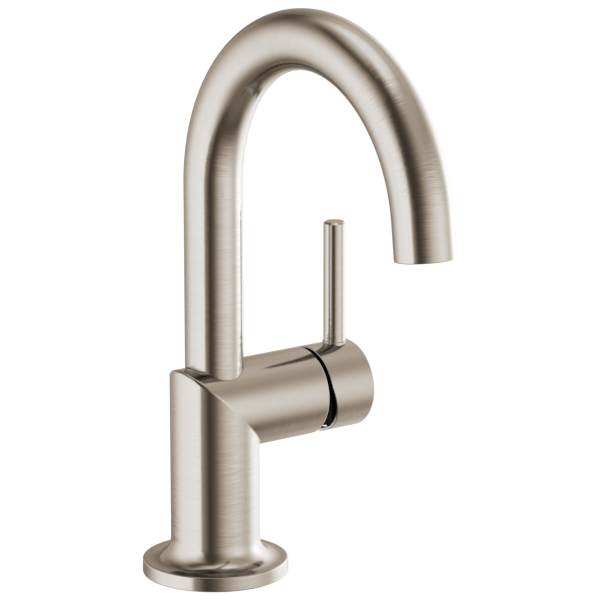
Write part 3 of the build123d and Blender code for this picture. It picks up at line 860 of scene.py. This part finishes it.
inner_finishes = {
    # slot: name, colour, metallic, roughness, grain and relief in millimetres, change of shade
    "brass": ("turned_brass", (0.74, 0.56, 0.28), 1.0, 0.32, 0.8, 0.01, 0.12),
    "plastic_white": ("white_plastic", (0.78, 0.78, 0.75), 0.0, 0.42, 0.4, 0.006, 0.04),
    "plastic_grey": ("grey_plastic", (0.22, 0.23, 0.25), 0.0, 0.42, 0.4, 0.006, 0.08),
    "plastic_red": ("red_plastic", (0.50, 0.03, 0.02), 0.0, 0.40, 0.4, 0.006, 0.08),
    "ceramic": ("lapped_ceramic", (0.82, 0.80, 0.76), 0.0, 0.16, 0.3, 0.0005, 0.03),
    "rubber": ("black_rubber", (0.022, 0.022, 0.022), 0.0, 0.62, 0.5, 0.01, 0.3),
    "steel": ("plain_steel", (0.50, 0.50, 0.51), 1.0, 0.30, 0.5, 0.004, 0.08),
    "zinc_steel": ("zinc_steel", (0.56, 0.58, 0.62), 1.0, 0.26, 0.6, 0.006, 0.10),
}
finishes = {slot: grained(*values) for slot, values in inner_finishes.items()}
finishes["bonnet_black"] = black_plastic("matt_black_bonnet", 0.50, 0.15)
finishes["brushed_nickel"] = nickel
finishes["nickel_rod"] = rod_nickel
print("made", len(finishes), "finishes")

# %% [markdown]
# The cap isn't round everywhere: it has a square hole for the stem and two holes across, for the
# rod's stud above and the set screw below. A Boolean cuts them from the turned shape, as a drill
# would, and joins the two webs that hold the hub. Each tool is a plain block or cylinder.

# %% Tools for holes
drill_steps = 48


def tool_object(name, work):
    mesh = bpy.data.meshes.new(name)
    bmesh.ops.recalc_face_normals(work, faces=work.faces)
    work.to_mesh(mesh)
    work.free()
    return new_object(name, mesh)


def block(name, low, high):
    """Block between two corners."""
    work = bmesh.new()
    bmesh.ops.create_cube(work, size=1.0)
    for point in work.verts:
        point.co = [a + (b - a) * (part + 0.5) for a, b, part in zip(low, high, point.co)]
    return tool_object(name, work)


def drill(name, x, radius, low, high):
    """Upright cylinder between two heights."""
    work = bmesh.new()
    bmesh.ops.create_cone(work, cap_ends=True, segments=drill_steps, radius1=radius, radius2=radius,
                          depth=high - low)
    bmesh.ops.translate(work, verts=work.verts, vec=(x, 0, (low + high) / 2))
    return tool_object(name, work)


def carved(piece, added, cut):
    """The piece with some tools joined to it and others cut from it. The tools go."""
    for tools, operation in ((added, "UNION"), (cut, "DIFFERENCE")):
        for tool in tools:
            boolean = piece.modifiers.new(tool.name, "BOOLEAN")
            boolean.operation = operation
            boolean.solver = "EXACT"
            boolean.object = tool
    name = piece.name
    material = piece.data.materials[0]
    mesh = harvest(piece)
    for tool in (*added, *cut):
        bpy.data.objects.remove(tool)
    return finish_piece(name, mesh, material)


print("tools ready")

# %% [markdown]
# The cap's inner edge is stepped: close to the barrel at the top, and set back at the bottom, so
# that the lever can tilt. Each point of the mouth ring finds its own place from its height, which
# keeps the step as smooth as a milled one. Only the outside is brushed. The inside is painted dark
# as shade, which makes the gap beside the cap look black, as it does in the photograph.

# %% Cap
cap_bore = 18.3 * mm
cap_wall = 3.0 * mm
cap_edge = 0.9 * mm
cap_edge_start = cap_end - 10.0 * mm
mouth_top = 50.4 * mm
mouth_bottom = 55.4 * mm
mouth_edge = 0.3 * mm
slope_top = 5.5 * mm
slope_bottom = -14.0 * mm
slope_round = 14.0 * mm
hub_start = 58.0 * mm
hub_radius = 8.5 * mm
hub_edge = 0.3 * mm
pole_ring = 0.4 * mm
web_start = 60.0 * mm
web_half = 6.0 * mm
web_reach = 18.38 * mm
stem_half_width = 3.5 * mm
stem_half_height = 3.0 * mm
screw_place = 62.0 * mm
screw_thread = 2.5 * mm
screw_way = 2.9 * mm
stud_radius = 3.0 * mm
tool_room = 1.0 * mm
drill_reach = 1.2 * column_radius
inside_margin = 0.05 * mm


def mouth_places(heights):
    """Where the mouth is along X, for heights above the barrel's axis."""
    past = column_radius + tool_room
    curve = np.array(rounded([
        (mouth_bottom, -past, 0), (mouth_bottom, slope_bottom, slope_round),
        (mouth_top, slope_top, slope_round), (mouth_top, past, 0),
    ]))
    return np.interp(heights, curve[:, 1], curve[:, 0])


def turned_cap():
    up = -np.cos(angles)
    end_wall = cap_end - cap_wall
    inner = mouth_places(cap_bore * up)
    section = [(hub_start, 0.0)]
    section += rounded([(hub_start, pole_ring, 0), (hub_start, hub_radius, hub_edge),
                        (end_wall, hub_radius, 0), (end_wall, cap_bore, 0)])
    section += [(inner + 2 * mouth_edge, cap_bore), (inner, cap_bore)]
    for turn in np.linspace(0, pi / 2, edge_steps + 1):
        radius = column_radius - mouth_edge * (1 - sin(turn))
        section.append((mouth_places(radius * up) + mouth_edge * (1 - cos(turn)), radius))
    section.append((mouth_places(column_radius * up) + mouth_edge + support, column_radius))
    section += rounded([(cap_edge_start, column_radius, 0), (cap_end, column_radius, cap_edge),
                        (cap_end, pole_ring, 0)])
    section.append((cap_end, 0.0))
    return turned("lever_cap", section, nickel, depth=barrel_lines)


def cap():
    low = barrel_height - drill_reach
    high = barrel_height + drill_reach
    webs = block("webs", (web_start, -web_half, barrel_height - web_reach),
                 (cap_end - cap_wall / 2, web_half, barrel_height + web_reach))
    stem_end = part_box("lever_stem")[1].x
    holes = [
        block("stem_hole", (hub_start - tool_room, -stem_half_width, barrel_height - stem_half_height),
              (stem_end, stem_half_width, barrel_height + stem_half_height)),
        drill("screw_thread", screw_place, screw_thread, low, barrel_height),
        drill("screw_way", screw_place, screw_way, low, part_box("set_screw")[0].z),
        drill("stud_hole", rod_place, stud_radius, rod_low.z, high),
    ]
    whole = carved(turned_cap(), [webs], holes)
    # The faces inside the cap's bore get the painted shade.
    whole.data.materials.append(painted_shade_inside())
    for face in whole.data.polygons:
        arm = Vector((0, face.center.y, face.center.z - barrel_height))
        if arm.length < cap_bore + inside_margin and face.center.x < cap_end - tool_room:
            face.material_index = 1
    return whole


place_piece(cap(), "lever", "brushed_nickel", "handle_cap")

# %% [markdown]
# The rod stands on the cap with a small bead, and a stud below holds it. A cylinder would leave a
# gap on the round cap, so the lowest rings bend with it: each point is as high as the cap is there.
# The rod was polished finer than the rest, so its bands are crisp.

# %% Rod
rod_radius = 4.9 * mm
rod_chamfer = 0.8 * mm
bead_radius = 5.3 * mm
bead_height = 0.7 * mm
bead_round = 0.35 * mm
stud_bottom = 7.0 * mm


def saddle(radius):
    """Height of the cap's top under each point of a ring round the rod's axis."""
    return barrel_height + np.sqrt(column_radius ** 2 - (radius * np.sin(angles)) ** 2)


def rod():
    bead_top = crown + bead_height
    stud_low = barrel_height + stud_bottom
    foot = [(0.0, stud_low), (stud_radius, stud_low), (stud_radius, saddle(stud_radius)),
            (bead_radius, saddle(bead_radius))]
    profile = rounded([
        (bead_radius, crown, 0), (bead_radius, bead_top, bead_round), (rod_radius, bead_top, 0),
        (rod_radius, rod_top - rod_chamfer, 0), (rod_radius - rod_chamfer, rod_top, 0),
    ])
    section = [*foot, *profile, (0.0, rod_top)]
    rings = [ring_about_z(radius, height, rod_place) for radius, height in section]
    along = [stud_bottom, stud_bottom, column_radius, column_radius]
    along += [height for radius, height in profile]
    along.append(rod_top + rod_radius)
    return skin("lever_handle", rings, along, rod_nickel)


place_piece(rod(), "lever", "nickel_rod", "lever_rod")

# %% [markdown]
# The black bonnet over the cartridge nut shows in the gap beside the cap. It is turned by hand when
# it is fitted, so its dome has fine grip ribs. They could be cut in by a Boolean, but repeating one
# rib is lighter: the tree lays one rib along the dome's curve and repeats it round the axis.

# %% Bonnet
bonnet_low, bonnet_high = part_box("bonnet")
bonnet_radius = bonnet_high.y
bonnet_mouth = 9.8 * mm
bonnet_shoulder = 51.0 * mm
bonnet_wall = 1.2 * mm
dome_steps = 24
rib_size = 0.35 * mm
rib_steps = 10
rib_count = 27
rib_turn = radians(40.3)
rib_climb = radians(62)
rib_level = 0.35


def dome_profile(inset):
    """Half section of the dome, from its foot over the shoulder to the mouth, moved in a little."""
    wide = bonnet_radius - bonnet_mouth - inset
    rise = bonnet_high.x - bonnet_shoulder - inset
    profile = [(bonnet_low.x, bonnet_radius - inset)]
    for turn in np.linspace(0, pi / 2, dome_steps):
        profile.append((bonnet_shoulder + rise * sin(turn), bonnet_mouth + wide * cos(turn)))
    return profile


def grip_ribs(material):
    tree, size, values = open_group("grip_ribs", {
        "Foot": bonnet_low.x + rib_size, "Shoulder": bonnet_shoulder, "Axis height": barrel_height,
        "Mouth radius": bonnet_mouth, "Dome width": bonnet_radius - bonnet_mouth - rib_size,
        "Dome rise": bonnet_high.x - bonnet_shoulder - rib_size, "Climb": rib_climb,
        "Rib size": rib_size, "First turn": rib_turn, "Rib count": rib_count,
    })
    line = tree.node("GeometryNodeCurvePrimitiveLine")
    line = tree.node("GeometryNodeResampleCurve", {"Curve": line, "Count": dome_steps}, mode="COUNT")
    part = tree.node("GeometryNodeSplineParameter", output="Factor")
    turn = tree.math("MAXIMUM", (part - rib_level) / (1.0 - rib_level), 0.0) * size["Climb"]
    level = tree.math("MINIMUM", part / rib_level, 1.0)
    x = size["Foot"] + (size["Shoulder"] - size["Foot"]) * level
    x = x + size["Dome rise"] * tree.math("SINE", turn)
    reach = size["Mouth radius"] + size["Dome width"] * tree.math("COSINE", turn)
    path = moved(tree, line, tree.combine(x, 0.0, -reach))
    inputs = {"Resolution": rib_steps, "Radius": size["Rib size"]}
    circle = tree.node("GeometryNodeCurvePrimitiveCircle", inputs)
    rib = tree.node("GeometryNodeCurveToMesh", {"Curve": path, "Profile Curve": circle, "Fill Caps": True})
    axis = tree.combine(0.0, 0.0, size["Axis height"])
    points = tree.node("GeometryNodePoints", {"Count": size["Rib count"], "Position": axis})
    number = tree.node("GeometryNodeInputIndex")
    turned = tree.combine(-size["First turn"] - number * (2 * pi) / size["Rib count"], 0.0, 0.0)
    inputs = {"Points": points, "Instance": rib, "Rotation": turned}
    ribs = made_real(tree, tree.node("GeometryNodeInstanceOnPoints", inputs), material)
    tree.node("NodeGroupOutput", {"Geometry": join(tree, ribs, size["Geometry"])})
    return tree, values


def bonnet():
    section = [*dome_profile(rib_size), *dome_profile(rib_size + bonnet_wall)[::-1]]
    dome = turned("bonnet_dome", section, finishes["bonnet_black"], closed=True)
    add_nodes(dome, *grip_ribs(black_plastic("rubbed_black_ribs", 0.12, 0.5)))
    return finish_piece("ribbed_bonnet", harvest(dome))


place_piece(bonnet(), "root", "bonnet_black", "bonnet")

# %% [markdown]
# Below the deck a threaded shank and three jack screws clamp the faucet. The solids have plain
# cylinders there. A thread could be a swept triangle, but its start and end would stay open. Here
# it is a sheet of faces wrapped round the axis: its rows climb by one pitch in a turn, so that
# crests and roots follow the helix, and are cut level at both ends. The same tree makes the shank,
# which is hollow, and the screws, which aren't.

# %% Threads
shank_low, shank_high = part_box("shank")
shank_bore = 13.6 * mm
shank_pitch = 1.5 * mm
shank_depth = 0.85 * mm
shank_steps = 96
rows_in_pitch = 8
closing_rows = 4
flank_slope = 1.6
root_share = 0.3


def thread_sheet(tree, size, steps, length, pitch):
    """Nodes for one threaded rod, from the inputs in size. Its rows cover the length and one pitch
    more at each end, and the last ones close it."""
    rows = int((length / pitch + 2) * rows_in_pitch) + closing_rows
    inputs = {"Size X": 1.0, "Size Y": 1.0, "Vertices X": steps + 1, "Vertices Y": rows}
    sheet = tree.node("GeometryNodeMeshGrid", inputs, output="Mesh")
    flat = tree.separate(tree.node("GeometryNodeInputPosition"))
    turn = flat + 0.5
    row = tree.math("ROUND", (flat.other("Y") + 0.5) * (rows - 1.0))
    climbed = size["Low"] + ((row - 1.0) / rows_in_pitch - 1.0 + turn) * size["Pitch"]
    z = tree.math("MINIMUM", tree.math("MAXIMUM", climbed, size["Low"]), size["High"])
    wave = tree.math("PINGPONG", (z - size["Low"]) / size["Pitch"] - turn, 0.5) * 2.0
    flank = tree.node("ShaderNodeClamp", [wave * flank_slope - root_share, 0.0, 1.0])
    root = size["Radius"] - size["Depth"]
    reach = root + size["Depth"] * flank
    reach = tree.math("MINIMUM", reach, root + (z - size["Low"]))
    reach = tree.math("MINIMUM", reach, root + (size["High"] - z))
    first = tree.math("LESS_THAN", row, 0.5)
    closing = tree.math("GREATER_THAN", row, rows - 1.5)
    top = tree.math("GREATER_THAN", row, rows - 2.5) - closing
    low = tree.math("MAXIMUM", first, closing)
    reach = reach + (size["Bore"] - reach) * (low + top)
    z = z + (size["Low"] - z) * low
    z = z + (size["High"] - z) * top
    angle = turn * (2 * pi)
    x = reach * tree.math("COSINE", angle)
    y = reach * tree.math("SINE", angle)
    return moved(tree, sheet, tree.combine(x, y, z))


def threaded_shank(material):
    tree, size, values = open_group("shank_thread", {
        "Radius": shank_high.x, "Bore": shank_bore, "Pitch": shank_pitch, "Depth": shank_depth,
        "Low": shank_low.z, "High": shank_high.z,
    })
    thread = thread_sheet(tree, size, shank_steps, shank_high.z - shank_low.z, shank_pitch)
    tree.node("NodeGroupOutput", {"Geometry": made_real(tree, thread, material)})
    return finish_piece("threaded_shank", harvest(grow("threaded_shank", tree, values)), material)


place_piece(threaded_shank(finishes["brass"]), "root", "brass", "shank")

# %% [markdown]
# A jack screw is a threaded rod with a round head and a cross slot for the driver. The head is two
# cones, one of them the broken edge, and the slots are cut by two blocks. One screw is made, and
# the tree puts it on the three points of a circle.

# %% Jack screws
screw_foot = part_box("jack_screws")[0].z
washer_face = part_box("steel_washer")[0].z
jack_count = 3
jack_circle = 21.8 * mm
jack_radius = 2.5 * mm
jack_pitch = 0.8 * mm
jack_depth = 0.42 * mm
jack_steps = 40
jack_overlap = 0.2 * mm
head_radius = 4.2 * mm
head_height = 3.4 * mm
head_edge = 0.5 * mm
head_steps = 48
cross_length = 4.4 * mm
cross_width = 1.1 * mm
cross_depth = 1.6 * mm


def cone(tree, low_radius, high_radius, depth, foot):
    inputs = {"Vertices": head_steps, "Radius Bottom": low_radius, "Radius Top": high_radius,
              "Depth": depth}
    made = tree.node("GeometryNodeMeshCone", inputs, output="Mesh")
    lifted = tree.combine(0.0, 0.0, foot)
    return tree.node("GeometryNodeTransform", {"Geometry": made, "Translation": lifted})


def screw_head(tree, size):
    """Round head with a broken edge and a cross slot."""
    edge = size["Head edge"]
    foot = size["Head foot"]
    radius = size["Head radius"]
    below = cone(tree, radius - edge, radius, edge, foot)
    above = cone(tree, radius, radius, size["Head height"] - edge, foot + edge)
    inputs = {"Mesh 2": join(tree, above, below)}
    head = tree.node("GeometryNodeMeshBoolean", inputs, operation="UNION", solver="EXACT")
    long, short = size["Cross length"], size["Cross width"]
    for x, y in ((long, short), (short, long)):
        box = tree.combine(x, y, size["Cross depth"] * 2.0)
        slot = tree.node("GeometryNodeMeshCube", {"Size": box}, output="Mesh")
        inputs = {"Geometry": slot, "Translation": tree.combine(0.0, 0.0, foot)}
        inputs = {"Mesh 1": head, "Mesh 2": tree.node("GeometryNodeTransform", inputs)}
        head = tree.node("GeometryNodeMeshBoolean", inputs, operation="DIFFERENCE", solver="EXACT")
    return head


def threaded_screws(material):
    sizes = {
        "Radius": jack_radius, "Bore": 0.0, "Pitch": jack_pitch, "Depth": jack_depth,
        "Low": screw_foot + head_height - jack_overlap, "High": washer_face,
        "Head radius": head_radius, "Head height": head_height, "Head foot": screw_foot,
        "Head edge": head_edge, "Cross length": cross_length, "Cross width": cross_width,
        "Cross depth": cross_depth, "Circle": jack_circle,
    }
    tree, size, values = open_group("jack_screws", sizes)
    thread = thread_sheet(tree, size, jack_steps, sizes["High"] - sizes["Low"], jack_pitch)
    screw = join(tree, thread, screw_head(tree, size))
    circle = tree.node("GeometryNodeMeshCircle", {"Vertices": jack_count, "Radius": size["Circle"]})
    circle = tree.node("GeometryNodeTransform", {"Geometry": circle, "Rotation": (0.0, 0.0, pi / 2)})
    screws = tree.node("GeometryNodeInstanceOnPoints", {"Points": circle, "Instance": screw})
    tree.node("NodeGroupOutput", {"Geometry": made_real(tree, screws, material)})
    return finish_piece("jack_screws_with_threads", harvest(grow("jack", tree, values)), material)


place_piece(threaded_screws(finishes["zinc_steel"]), "root", "zinc_steel", "jack_screws")

# %% [markdown]
# The other pieces keep the frame's own solids, which are exact, and only get their finish.

# %% Inner pieces
for entry in frame["record"]["subparts"]:
    mesh = nodes[entry["node"]].data
    mesh.materials.clear()
    mesh.materials.append(finishes[entry["material_slot"]])
